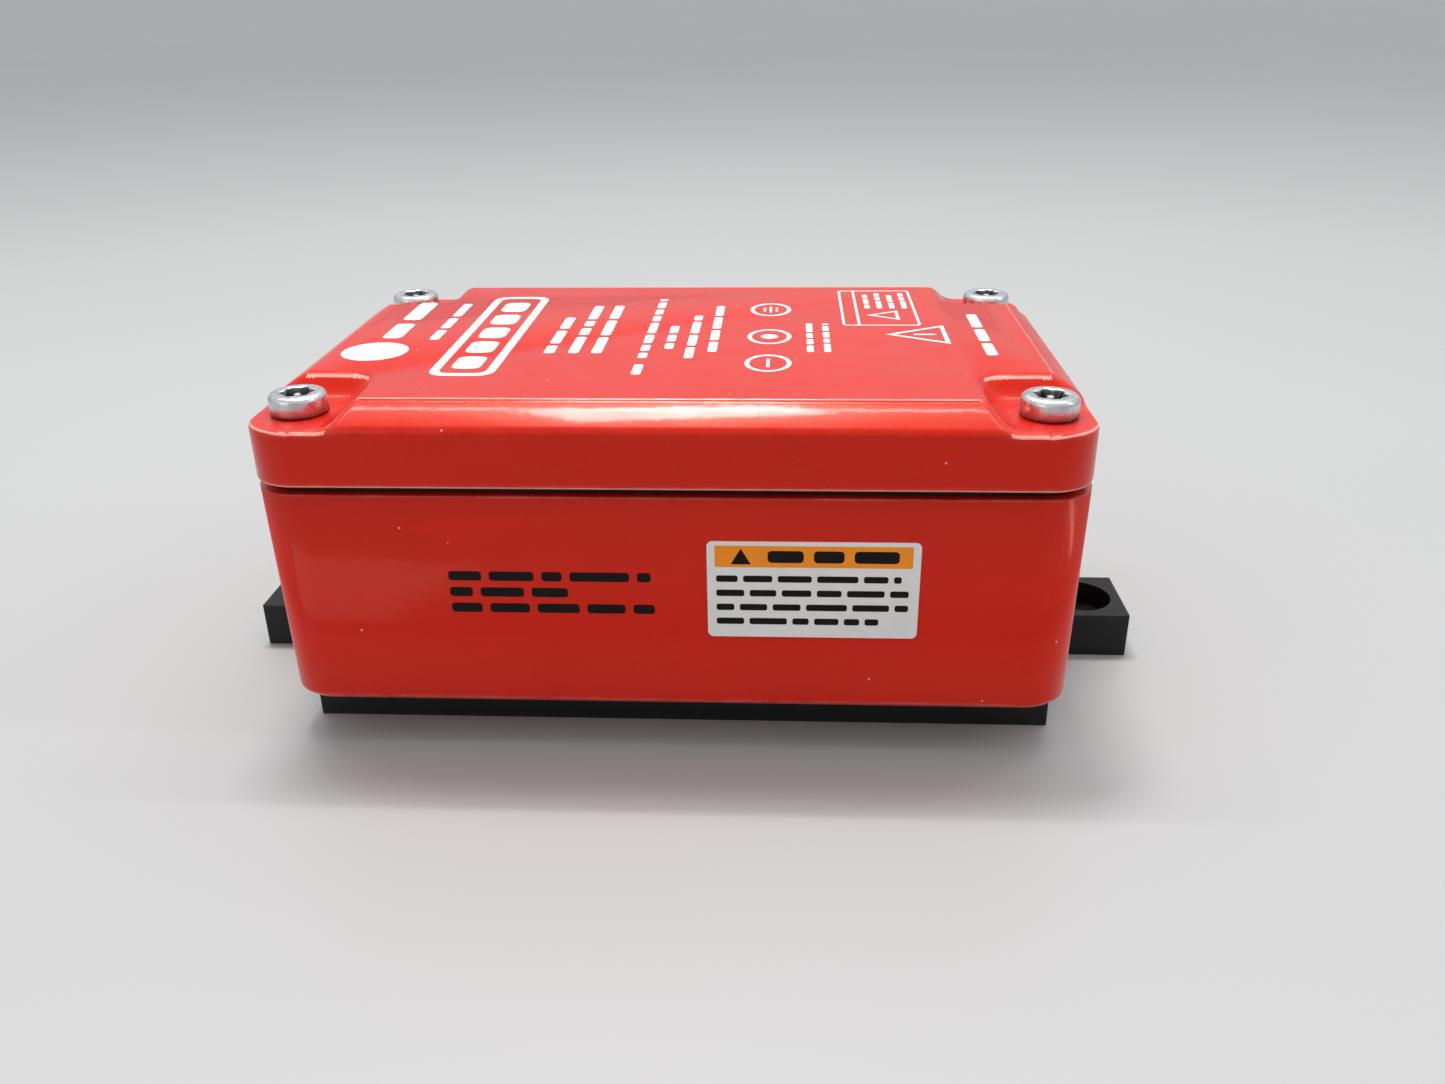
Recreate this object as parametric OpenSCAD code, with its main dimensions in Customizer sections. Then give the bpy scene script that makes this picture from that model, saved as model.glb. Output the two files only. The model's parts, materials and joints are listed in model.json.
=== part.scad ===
// Hinge-operated rotary cam limit switch: a die-cast box with a screw-down cover, standing on a black
// mounting plate. A hinge shaft turns a cam, the cam pushes a plunger, and the plunger carries three
// double-break contact bridges inside a moulded contact block.
// Origin: centre of the mounting plate's underside. +X along the box, +Y towards the shaft end, +Z up.
// All sizes are in millimetres.

/* [Cover] */
// Length of the cover along X
lid_l = 138; // [136:0.5:140]
// Width of the cover along Y
lid_w = 90; // [89:0.5:91]
// Corner radius of the cover and the box
corner_r = 8; // [7:0.5:9]
// Height of the cover from its underside to its corner shoulders
shoulder_h = 9.7; // [9:0.1:10.5]
// Rise of the panel above the corner shoulders
panel_rise = 3.8; // [3:0.1:4.2]
// Thickness of the cover's roof
roof_t = 3; // [2.5:0.1:3.5]

/* [Box] */
// Height of the box from the mounting plate to its rim
box_h = 39.4; // [39:0.1:41]
// Thickness of the box's side walls
wall_t = 3.6; // [3.2:0.1:3.8]
// Thickness of the box's floor
floor_t = 3.5; // [3:0.1:3.8]
// How far each side wall leans in from the rim to the floor
draft = 0.6; // [0.4:0.1:1]
// Thickness of the gasket between the rim and the cover
gasket_t = 1.5; // [1.2:0.1:2]

/* [Mounting plate] */
// Thickness of the mounting plate
plate_t = 9; // [8:0.5:10]
// Length of the plate under the box
plate_l = 134; // [130:1:135]
// Width of the plate under the box
plate_w = 69; // [66:1:72]
// Length over both fixing ears
ears_l = 175; // [173:1:178]
// Width of a fixing ear
ear_w = 17; // [16:0.5:20]
// Distance between the two fixing holes
fixing_pitch = 158; // [157:1:160]

/* [Actuator] */
// Diameter of the shaft's free end
shaft_d = 12; // [11:0.5:12.5]
// Length of the shaft outside its boss
shaft_out = 28; // [20:1:40]
// How far the cam pushes the plunger over its working half turn
cam_lift = 4; // [3.5:0.1:4]

/* [Conduit entry] */
// Diameter of the conduit entry's thread crest
conduit_d = 18.3; // [16:0.1:18.5]

/* [Hidden] */

// Smoothness: exact round parts, and the small steps used inside hulls
$fn = 64;
hull_fn = 32;
// Thickness of the slabs that a hull is stretched between
sliver = 0.01;
// How far a cutting shape runs past the face it cuts
past = 1;
// Gap on the radius between parts of one body that are assembled without play
snug = 0.02;
// Running clearance on the radius between parts that move on each other
running = 0.05;
// Clearance on the radius round a screw's shank or head
screw_play = 0.3;
// How far screw holes go on below the surface that a pad or boss stands on
blind = 2;
// Length of a cutter that only has to be long enough
long = 20;
// Bevel at the end of a screw's shank, and at the rim of a plain head
screw_bevel = 0.5;
// Cross recess as shares of its screw head's radius and height
cross_reach = 0.6;
cross_depth = 0.55;

// Heights
box_z = plate_t;
rim_z = box_z + box_h;
floor_z = box_z + floor_t;
lid_z = rim_z + gasket_t;
shoulder_z = lid_z + shoulder_h;
panel_z = shoulder_z + panel_rise;

// Box
box_l = lid_l + 0.6;
box_w = lid_w - 1.4;
edge_round = 1;
rim_corner_r = corner_r + 0.4;
cavity_l = box_l - 2 * wall_t - 2 * draft;
cavity_w = box_w - 2 * wall_t - 2 * draft;
cavity_r = corner_r - 2;
boss_x = 61.5;
boss_y = 35;
boss_r = 5.5;
cover_screw_r = 2.45;
cover_screw_len = 19.6;
cover_head_r = 4.75;
cover_head_h = 3.6;
cover_head_bevel = 0.9;
cover_recess_r = 2.7;
cover_recess_depth = 2.2;
cover_hole_depth = 12;
gasket_in_x = 2.2;
gasket_in_y = 2.7;
gasket_r = corner_r - 1.5;

// Cover: bevel of its edges in plan and in height
lid_bevel = 0.6;
lid_bevel_h = 0.8;

// Cover panel: outline at its crisp upper edge, and how far its banks run out to the shoulders
panel_x = lid_l / 2 - 4.5;
panel_y = lid_w / 2 - 5.7;
notch_x = 50;
notch_y = 25;
bank_x = 4;
bank_y = 4.8;
panel_r = 3;
// How far the hollow under the panel stays inside that outline, on its four kinds of side
hollow_in_end = 4.5;
hollow_in_front = 4;
hollow_in_notch_x = 2;
hollow_in_notch_y = 1.5;

// Mounting plate fixings
ear_hole_r = 3.3;
ear_recess_r = 6.5;
ear_recess_depth = 5;
plate_screw_x = 52;
plate_screw_y = 22;
plate_screw_r = 2.45;
plate_screw_len = 11;
plate_hole_depth = 7.5;
plate_head_r = 4.6;
plate_head_h = 3.4;
plate_head_z = 0.8;
plate_boss_r = 5;
plate_boss_top = floor_z + 4.5;

// Shaft line
shaft_x = -35;
shaft_z = 28;
shaft_r = shaft_d / 2;
journal_r = 7;
cam_seat_r = 6;
nose_r = 5;
// Play at the end of the nose, in its blind bush
nose_play = 0.5;
nose_y0 = -39;
nose_y1 = -27;
journal_y0 = 31;
outer_boss_r = 14;
outer_boss_y = 48.2;
// Where the thinner free end begins, just outside the boss
free_end_y = outer_boss_y + 0.7;
inner_boss_r = 12;
inner_boss_y = 35.5;
front_boss_r = 11;
front_boss_y = -29;
bush_t = 2.5;
bush_flange_r = 11.5;
bush_flange_t = 1.5;
front_flange_r = 9;
rear_bush_end = 43.5;
seal_r = 11;
seal_y0 = 43.8;
shaft_end_chamfer = 0.8;
flat_depth = 0.6;
flat_len = 13;
ring_y = 32;
ring_t = 1.1;
ring_r = 9.2;
ring_groove_r = 6.3;
ring_mouth = 6;
// Gap between the ring and the sides of its groove, and between the washer and its neighbours
ring_play = 0.05;
washer_r = 10;
washer_t = 0.75;

// Cam and roller
cam_half_w = 2.5;
cam_hub_r = 10;
cam_hub_y0 = -9;
set_screw_y = -6;
set_screw_r = 2;
set_screw_len = 4.6;
set_screw_seat = 5;
hex_r = 1;
hex_depth = 1.6;
roller_r = 3.5;
roller_half_w = 2;
roller_pin_r = 1.25;
cam_min_r = 9.5;
cam_gap = 0.06;
pitch_r0 = cam_min_r + roller_r + cam_gap;
roller_x = shaft_x + pitch_r0;

// Contact block
block_x0 = -17;
block_x1 = 38;
block_half_w = 20;
block_z0 = floor_z + 4;
block_z1 = 34;
channel_half = 4.4;
channel_z = 23;
bay_half = 11;
bay_z = 25;
bay_x0 = -10;
bay_x1 = 27;
core_half = 12.2;
barrier_t = 1.2;
seat_pitch = 11;
tab_slot_h = 1.1;
spring_wall_x = 36;
block_screw_x = [-12.5, 32.5];
block_screw_y = 16.3;
block_screw_r = 1.95;
block_screw_len = 9.5;
block_head_r = 3.5;
block_head_h = 2.6;
block_seat_z = 21;
block_pad_r = 4.5;
cover_plate_t = 2;
block_cover_screw_x = [-13.5, 34];
block_cover_screw_y = 8.3;
block_cover_screw_r = 1.2;
block_cover_screw_len = 7;
block_cover_head_r = 2.3;
block_cover_head_h = 1.6;
block_rib_h = 0.8;
block_rib_w = 1.2;
block_rib_y = 5;
block_rib_in = 3;

// Plunger and contacts, as positions at rest
plunger_half = 4.2;
plunger_z0 = 23.2;
plunger_z1 = 32.8;
plunger_x0 = roller_x + 4.4;
plunger_x1 = 27;
fork_r = 2.6;
fork_slot_half = 2.2;
fork_slot_end = 4;
spigot_r = 1.5;
spigot_len = 2;
pole_x = [-4, 7, 18];
bridge_half_t = 0.6;
bridge_half_l = 10;
bridge_half_h = 2;
window_play = 0.2;
bridge_spring_r = 1.5;
bridge_wire_r = 0.2;
bridge_spring_turns = 4;
return_spring_r = 2.6;
return_wire_r = 0.35;
return_spring_turns = 6;
tip_y = 7.5;
tip_r = 1.7;
tip_t = 0.8;
strip_t = 1;
strip_y = 5.6;
strip_top = 3;
tab_hole_r = 1.9;
contact_gap = 0.02;
window_len = 4.6;
terminal_y = 15.5;
terminal_dx = 0.3;
terminal_screw_r = 1.7;
terminal_head_r = 2.9;
terminal_head_h = 2.2;
terminal_screw_len = 8;
clamp_t = 1.2;
clamp_l = 6.6;
clamp_w = 6.4;
clamp_groove_y = 2.4;
clamp_groove_w = 0.7;
clamp_groove_depth = 0.4;

// Earth terminal
earth_x = 44;
earth_y = -33;
earth_pad_r = 4.5;
earth_pad_h = 3.5;
earth_screw_r = 2;
earth_screw_len = 6;
earth_head_r = 3.8;
earth_head_h = 2.6;
earth_plate_l = 9;
earth_plate_t = 1;

// Conduit entry
conduit_z = 28;
conduit_boss_r = 13.5;
conduit_boss_x = 57;

// Side label
label_l = 35;
label_h = 17.8;
label_t = 0.2;
label_r = 1;
label_x = 23.9;
label_z = 32;
label_lift = 0.02;

PAINT = "#a8241c";
ZINC = "#c4c6c8";
STEEL = "#a9abad";
BRONZE = "#b08a4c";
BRASS = "#c9a24a";
SILVER = "#d8d8da";
BLACK = "#1d1d1f";
RUBBER = "#141414";

// ---------------------------------------------------------------- helpers

// Rectangle with round corners, centred
module round_rect(l, w, r) {
    square([l - 2 * r, w], center = true);
    square([l, w - 2 * r], center = true);
    for (x = [-1, 1], y = [-1, 1])
        translate([x * (l / 2 - r), y * (w / 2 - r)]) circle(r = r);
}

// The same as a thin slab at height z, for stretching a hull between
module level(l, w, r, z) {
    translate([0, 0, z]) linear_extrude(sliver) round_rect(l, w, r, $fn = hull_fn);
}

// A box from one corner to the opposite one
module block(from, to) {
    translate(from) cube(to - from);
}

// Children drawn along +Z are laid along +Y on the shaft line, starting at y
module on_shaft(y = 0) {
    translate([shaft_x, y, shaft_z]) rotate([-90, 0, 0]) children();
}

// Ring along +Z
module ring(r_out, r_in, h) {
    difference() {
        cylinder(r = r_out, h = h);
        translate([0, 0, -past]) cylinder(r = r_in, h = h + 2 * past);
    }
}

// The four places symmetric about both axes
module four(x, y) {
    for (sx = [-1, 1], sy = [-1, 1]) translate([sx * x, sy * y, 0]) children();
}

// Screw with a cylindrical head: head on z = 0 upwards, shank below it
module screw(head_r, head_h, shank_r, shank_len, rim = screw_bevel) {
    rotate_extrude() polygon([
        [0, -shank_len], [shank_r - screw_bevel, -shank_len], [shank_r, screw_bevel - shank_len],
        [shank_r, 0], [head_r, 0], [head_r, head_h - rim], [head_r - rim, head_h], [0, head_h]
    ]);
}

// The same with a cross recess in its head
module cross_screw(head_r, head_h, shank_r, shank_len) {
    reach = cross_reach * head_r;
    slot = 0.4 * reach;
    depth = cross_depth * head_h;
    difference() {
        screw(head_r, head_h, shank_r, shank_len);
        for (a = [0, 90]) rotate([0, 0, a])
            translate([-reach, -slot / 2, head_h - depth]) cube([2 * reach, slot, depth + past]);
    }
}

// Six-lobed recess with a pin left standing in its middle
module lobed_cut(r, depth) {
    lobe_r = r * 0.27;
    difference() {
        union() {
            cylinder(r = r * 0.76, h = depth + past);
            for (a = [0 : 60 : 300])
                rotate([0, 0, a]) translate([r - lobe_r, 0, 0]) cylinder(r = lobe_r, h = depth + past);
        }
        translate([0, 0, -past]) cylinder(r = r * 0.28, h = depth + past - 0.3);
    }
}

// Helical compression spring along +Z, from z = 0 to z = length
function coil_points(mean_r, wire_r, length, turns, steps, sides) = [
    for (i = [0 : turns * steps], k = [0 : sides - 1])
        let (a = 360 * i / steps, b = 360 * k / sides)
        [
            (mean_r + wire_r * cos(b)) * cos(a),
            (mean_r + wire_r * cos(b)) * sin(a),
            wire_r * (1 + sin(b)) + (length - 2 * wire_r) * i / (turns * steps)
        ]
];
function coil_faces(rings, sides) = concat(
    [[for (k = [0 : sides - 1]) k]],
    [[for (k = [sides - 1 : -1 : 0]) rings * sides + k]],
    [
        for (i = [0 : rings - 1], k = [0 : sides - 1])
            let (m = (k + 1) % sides, low = i * sides, high = low + sides)
            [low + m, low + k, high + k, high + m]
    ]
);
module coil_spring(mean_r, wire_r, length, turns, steps = 16, sides = 8) {
    polyhedron(
        coil_points(mean_r, wire_r, length, turns, steps, sides),
        coil_faces(turns * steps, sides),
        convexity = 10
    );
}

// ---------------------------------------------------------------- enclosure

// Mounting plate with an ear at each end, its recessed fixing holes and the holes for its own screws
module mounting_plate() {
    color(BLACK) difference() {
        linear_extrude(plate_t) union() {
            square([plate_l, plate_w], center = true);
            square([ears_l, ear_w], center = true);
        }
        for (s = [-1, 1]) translate([s * fixing_pitch / 2, 0, 0]) {
            translate([0, 0, -past]) cylinder(r = ear_hole_r, h = plate_t + 2 * past);
            translate([0, 0, plate_t - ear_recess_depth]) cylinder(r = ear_recess_r, h = plate_t);
        }
        four(plate_screw_x, plate_screw_y) {
            translate([0, 0, -past]) cylinder(r = plate_screw_r + screw_play, h = plate_t + 2 * past);
            translate([0, 0, -past])
                cylinder(r = plate_head_r + screw_play, h = past + plate_head_z + plate_head_h);
        }
    }
}

// Screws that hold the mounting plate to the box, heads down in its underside
module plate_screws() {
    color(ZINC) four(plate_screw_x, plate_screw_y)
        translate([0, 0, plate_head_z + plate_head_h]) rotate([180, 0, 0])
            cross_screw(plate_head_r, plate_head_h, plate_screw_r, plate_screw_len);
}

module box_outside() {
    hull() {
        level(box_l - 2 * (draft + edge_round), box_w - 2 * (draft + edge_round),
              corner_r - edge_round, box_z);
        level(box_l - 2 * draft, box_w - 2 * draft, corner_r, box_z + edge_round);
        level(box_l, box_w, rim_corner_r, rim_z - sliver);
    }
}

module corner_boss_2d() {
    translate([boss_x, boss_y]) circle(r = boss_r);
    translate([boss_x, boss_y - boss_r]) square([cavity_l / 2 - boss_x + past, 2 * boss_r]);
    translate([boss_x - boss_r, boss_y]) square([2 * boss_r, cavity_w / 2 - boss_y + past]);
}

// Open outline of the box's inside: the cavity less its four corner bosses
module inside_2d() {
    difference() {
        round_rect(cavity_l, cavity_w, cavity_r);
        for (sx = [0, 1], sy = [0, 1]) mirror([sx, 0]) mirror([0, sy]) corner_boss_2d();
    }
}

// Die-cast box: corner bosses for the cover screws, shaft bosses, conduit boss and floor pads
module housing() {
    // A plane just inside the front and rear walls, where the bosses grow out of them
    wall_y = cavity_w / 2 + past;
    color(PAINT) difference() {
        union() {
            difference() {
                box_outside();
                translate([0, 0, floor_z]) linear_extrude(box_h) inside_2d();
            }
            on_shaft(inner_boss_y) cylinder(r = inner_boss_r, h = wall_y - inner_boss_y);
            on_shaft(wall_y) cylinder(r = outer_boss_r, h = outer_boss_y - wall_y);
            on_shaft(-wall_y) cylinder(r = front_boss_r, h = front_boss_y + wall_y);
            translate([conduit_boss_x, 0, conduit_z]) rotate([0, 90, 0])
                cylinder(r = conduit_boss_r, h = cavity_l / 2 - conduit_boss_x + past);
            four(plate_screw_x, plate_screw_y)
                translate([0, 0, floor_z - past])
                    cylinder(r = plate_boss_r, h = plate_boss_top - floor_z + past);
            for (x = block_screw_x, s = [-1, 1]) translate([x, s * block_screw_y, floor_z - past])
                cylinder(r = block_pad_r, h = block_z0 - floor_z + past);
            translate([earth_x, earth_y, floor_z - past])
                cylinder(r = earth_pad_r, h = earth_pad_h + past);
        }
        four(boss_x, boss_y) translate([0, 0, rim_z - cover_hole_depth])
            cylinder(r = cover_screw_r + screw_play / 3, h = cover_hole_depth + past);
        on_shaft(inner_boss_y - past) cylinder(r = journal_r + bush_t, h = seal_y0 - inner_boss_y + 2 * past);
        on_shaft(seal_y0) cylinder(r = seal_r, h = outer_boss_y - seal_y0 + past);
        on_shaft(nose_y0 - nose_play)
            cylinder(r = nose_r + bush_t, h = front_boss_y - nose_y0 + nose_play + past);
        translate([conduit_boss_x - past, 0, conduit_z]) rotate([0, 90, 0])
            cylinder(r = conduit_d / 2, h = box_l / 2 - conduit_boss_x + 2 * past);
        four(plate_screw_x, plate_screw_y)
            translate([0, 0, box_z - past])
                cylinder(r = plate_screw_r + snug, h = plate_hole_depth + past);
        for (x = block_screw_x, s = [-1, 1]) translate([x, s * block_screw_y, floor_z - blind])
            cylinder(r = block_screw_r + snug, h = block_z0 - floor_z + blind + past);
        translate([earth_x, earth_y, floor_z - blind])
            cylinder(r = earth_screw_r + snug, h = earth_pad_h + blind + past);
    }
}

// Flat gasket between the rim and the cover, reaching round each cover screw
module gasket() {
    color(RUBBER) translate([0, 0, rim_z]) linear_extrude(gasket_t) difference() {
        round_rect(lid_l - 2 * gasket_in_x, lid_w - 2 * gasket_in_y, gasket_r);
        inside_2d();
        four(boss_x, boss_y) circle(r = cover_screw_r + screw_play);
    }
}

// Screw-down cover: vertical band, four low corner shoulders and a raised panel, hollow underneath
module lid() {
    // The banks start a little below the shoulders so that they join them solidly
    bank_foot_z = shoulder_z - 0.4;
    color(PAINT) difference() {
        union() {
            hull() {
                level(lid_l - 2 * lid_bevel, lid_w - 2 * lid_bevel, corner_r - lid_bevel, lid_z);
                level(lid_l, lid_w, corner_r, lid_z + lid_bevel_h);
                level(lid_l, lid_w, corner_r, shoulder_z - lid_bevel_h);
                level(lid_l - 2 * lid_bevel, lid_w - 2 * lid_bevel, corner_r - lid_bevel,
                      shoulder_z - sliver);
            }
            hull() {
                level(2 * (panel_x + bank_x), 2 * (notch_y + bank_x), panel_r + 1, bank_foot_z);
                level(2 * panel_x, 2 * notch_y, panel_r, panel_z - sliver);
            }
            hull() {
                level(2 * (notch_x + bank_x), 2 * (panel_y + bank_y), panel_r + 1, bank_foot_z);
                level(2 * notch_x, 2 * panel_y, panel_r, panel_z - sliver);
            }
        }
        translate([0, 0, lid_z - past]) linear_extrude(panel_z - lid_z - roof_t + past) union() {
            round_rect(2 * (panel_x - hollow_in_end), 2 * (notch_y - hollow_in_notch_y), panel_r);
            round_rect(2 * (notch_x - hollow_in_notch_x), 2 * (panel_y - hollow_in_front), panel_r);
        }
        four(boss_x, boss_y) translate([0, 0, lid_z - past])
            cylinder(r = cover_screw_r + screw_play, h = shoulder_h + 2 * past);
    }
}

// Tamper-proof screws that hold the cover down
module cover_screws() {
    color(ZINC) four(boss_x, boss_y) translate([0, 0, shoulder_z]) difference() {
        screw(cover_head_r, cover_head_h, cover_screw_r, cover_screw_len, cover_head_bevel);
        translate([0, 0, cover_head_h - cover_recess_depth])
            lobed_cut(cover_recess_r, cover_recess_depth);
    }
}

// Sticker on the front wall, lying against its draft
module side_label() {
    lean = atan(draft / (box_h - edge_round));
    face_y = box_w / 2 - draft * (rim_z - label_z) / (box_h - edge_round);
    color("white") translate([label_x, -face_y - label_lift, label_z]) rotate([90 + lean, 0, 0])
        linear_extrude(label_t) round_rect(label_l, label_h, label_r);
}

// ---------------------------------------------------------------- shaft line

// Stepped actuator shaft: nose journal, cam seat, main journal and the free end with its flat
module shaft() {
    end_y = free_end_y + shaft_out;
    color(STEEL) difference() {
        union() {
            on_shaft(nose_y0) cylinder(r = nose_r, h = nose_y1 - nose_y0);
            on_shaft(nose_y1) cylinder(r = cam_seat_r, h = journal_y0 - nose_y1);
            on_shaft(journal_y0) difference() {
                cylinder(r = journal_r, h = free_end_y - journal_y0);
                translate([0, 0, ring_y - journal_y0])
                    ring(journal_r + past, ring_groove_r, ring_t + 2 * ring_play);
            }
            on_shaft(free_end_y) cylinder(r = shaft_r, h = shaft_out - shaft_end_chamfer);
            on_shaft(end_y - shaft_end_chamfer)
                cylinder(r1 = shaft_r, r2 = shaft_r - shaft_end_chamfer, h = shaft_end_chamfer);
        }
        translate([shaft_x - shaft_r, end_y - flat_len, shaft_z + shaft_r - flat_depth])
            cube([2 * shaft_r, flat_len + past, flat_depth + past]);
        translate([shaft_x, set_screw_y, shaft_z + set_screw_seat])
            cylinder(r = set_screw_r + snug, h = cam_seat_r);
    }
}

// Flanged bush at the shaft's free end
module rear_bush() {
    color(BRONZE) on_shaft(inner_boss_y - bush_flange_t) difference() {
        union() {
            cylinder(r = bush_flange_r, h = bush_flange_t);
            cylinder(r = journal_r + bush_t - snug, h = rear_bush_end - inner_boss_y + bush_flange_t);
        }
        translate([0, 0, -past]) cylinder(r = journal_r + running, h = long);
    }
}

// Flanged bush for the shaft's nose, in the blind boss of the front wall
module front_bush() {
    sleeve = front_boss_y - nose_y0;
    color(BRONZE) on_shaft(nose_y0) difference() {
        union() {
            cylinder(r = nose_r + bush_t - snug, h = sleeve);
            translate([0, 0, sleeve]) cylinder(r = front_flange_r, h = bush_flange_t);
        }
        translate([0, 0, -past]) cylinder(r = nose_r + running, h = long);
    }
}

// Rubber lip seal in the mouth of the outer boss
module shaft_seal() {
    color(RUBBER) on_shaft(seal_y0) rotate_extrude() polygon([
        [journal_r + 0.6, 0], [seal_r - snug, 0], [seal_r - snug, 4], [seal_r - 1, 4.2],
        [journal_r + 1.4, 3.4], [journal_r + 0.8, 4.2], [journal_r + running, 3.8], [journal_r + running, 3.2]
    ]);
}

// Washer between the retaining ring and the rear bush
module thrust_washer() {
    color(STEEL) on_shaft(ring_y + ring_t + 2 * ring_play)
        ring(washer_r, journal_r + 2 * running, washer_t);
}

// External retaining ring in the shaft's groove
module retaining_ring() {
    color(STEEL) on_shaft(ring_y + ring_play) difference() {
        ring(ring_r, ring_groove_r + snug, ring_t - 2 * ring_play);
        translate([-ring_mouth / 2, -ring_r - past, -past])
            cube([ring_mouth, ring_r + past, ring_t + 2 * past]);
    }
}

// Distance of the roller's centre from the shaft at each angle of the cam: an even rise over the
// working half turn, and a smooth return over the other half
function pitch(a) = a <= 180
    ? pitch_r0 + cam_lift * a / 180
    : pitch_r0 + cam_lift * (1 + cos(a - 180)) / 2;
function pitch_slope(a) = a <= 180
    ? cam_lift / PI
    : -cam_lift * sin(a - 180) / 2;
// The cam's face lies one roller radius inside the path of the roller's centre
function cam_point(a) =
    let (
        p = pitch(a),
        q = pitch_slope(a),
        n = norm([p, q]),
        inset = roller_r + cam_gap,
        x = p * cos(a) - inset * (q * sin(a) + p * cos(a)) / n,
        y = p * sin(a) - inset * (p * sin(a) - q * cos(a)) / n
    )
    [x, -y];

// Cam disc with its clamping hub
module cam() {
    color(STEEL) difference() {
        union() {
            on_shaft(-cam_half_w) linear_extrude(2 * cam_half_w)
                polygon([for (a = [0 : 4 : 356]) cam_point(a)]);
            on_shaft(cam_hub_y0) cylinder(r = cam_hub_r, h = -cam_hub_y0 - cam_half_w + 0.5);
        }
        on_shaft(cam_hub_y0 - past) cylinder(r = cam_seat_r + snug, h = long);
        translate([shaft_x, set_screw_y, shaft_z])
            cylinder(r = set_screw_r + snug, h = cam_hub_r + past);
    }
}

// Grub screw that pins the cam to the shaft
module cam_set_screw() {
    color(BLACK) translate([shaft_x, set_screw_y, shaft_z + set_screw_seat + running]) difference() {
        cylinder(r = set_screw_r, h = set_screw_len);
        translate([0, 0, set_screw_len - hex_depth])
            cylinder(r = hex_r, h = hex_depth + past, $fn = 6);
    }
}

// ---------------------------------------------------------------- plunger

// Roller that runs on the cam
module roller() {
    color(STEEL) translate([roller_x, -roller_half_w, shaft_z]) rotate([-90, 0, 0]) difference() {
        cylinder(r = roller_r, h = 2 * roller_half_w);
        translate([0, 0, -past]) cylinder(r = roller_pin_r + running, h = long);
    }
}

// Pin of the roller, across the plunger's fork
module roller_pin() {
    color(STEEL) translate([roller_x, -plunger_half, shaft_z]) rotate([-90, 0, 0])
        cylinder(r = roller_pin_r, h = 2 * plunger_half);
}

// Which way each bridge is pushed on to its fixed contacts: -1 breaks and 1 makes as the cam lifts
function pole_side(i) = i < 2 ? -1 : 1;
// X where bridge i's window starts: it holds the bridge at one end and its spring at the other
function window_x0(i) = pole_x[i] - bridge_half_t - (pole_side(i) < 0 ? window_play : window_len);

// Sliding plunger: a fork for the roller, a window for each bridge and a spigot for its spring
module plunger() {
    color("#e8e4da") difference() {
        union() {
            block([plunger_x0, -plunger_half, plunger_z0], [plunger_x1, plunger_half, plunger_z1]);
            block([roller_x, -plunger_half, shaft_z - fork_r],
                  [plunger_x0 + past, plunger_half, shaft_z + fork_r]);
            translate([roller_x, -plunger_half, shaft_z]) rotate([-90, 0, 0])
                cylinder(r = fork_r, h = 2 * plunger_half);
            translate([plunger_x1 - past, 0, shaft_z]) rotate([0, 90, 0])
                cylinder(r = spigot_r, h = spigot_len + past);
        }
        block([roller_x - fork_slot_end - past, -fork_slot_half, plunger_z0 - past],
              [roller_x + fork_slot_end, fork_slot_half, plunger_z1 + past]);
        translate([roller_x, -long / 2, shaft_z]) rotate([-90, 0, 0])
            cylinder(r = roller_pin_r + snug, h = long);
        for (i = [0 : 2])
            translate([window_x0(i), -long / 2, shaft_z - bridge_half_h - window_play])
                cube([2 * bridge_half_t + window_len + window_play, long, 2 * (bridge_half_h + window_play)]);
    }
}

// Moving bridges, one through each window
module contact_bridges() {
    color(BRASS) for (x = pole_x)
        block([x - bridge_half_t, -bridge_half_l, shaft_z - bridge_half_h],
              [x + bridge_half_t, bridge_half_l, shaft_z + bridge_half_h]);
}

// Round tip whose flat face looks along +X or -X, starting at x
module tip(x, y, side) {
    translate([x, y, shaft_z]) rotate([0, side * 90, 0]) cylinder(r = tip_r, h = tip_t);
}

// Silver tips on the bridges
module bridge_tips() {
    color(SILVER) for (i = [0 : 2], s = [-1, 1])
        tip(pole_x[i] + pole_side(i) * bridge_half_t, s * tip_y, pole_side(i));
}

// Springs that press the bridges on to the fixed contacts
module bridge_springs() {
    color(STEEL) for (i = [0 : 2])
        translate([pole_x[i] - pole_side(i) * bridge_half_t, 0, shaft_z])
            rotate([0, -pole_side(i) * 90, 0])
                coil_spring(bridge_spring_r, bridge_wire_r, window_len - 2 * running,
                            bridge_spring_turns, 12, 6);
}

// Spring that returns the plunger
module return_spring() {
    color(STEEL) translate([plunger_x1 + snug, 0, shaft_z]) rotate([0, 90, 0])
        coil_spring(return_spring_r, return_wire_r, spring_wall_x - plunger_x1 - 2 * snug,
                    return_spring_turns);
}

// ---------------------------------------------------------------- contact block

// X range of pole i's terminal tab
function tab_x0(i) = pole_x[i] - 3.2;
function tab_x1(i) = pole_side(i) < 0 ? pole_x[i] + 3.8 : pole_x[i] + 7.2;
// X where pole i's fixed strip stands, on its side nearer the tips
function strip_face(i) = pole_side(i) < 0
    ? pole_x[i] - bridge_half_t - 2 * tip_t - contact_gap
    : pole_x[i] + bridge_half_t + 2 * tip_t + cam_lift + contact_gap;

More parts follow.
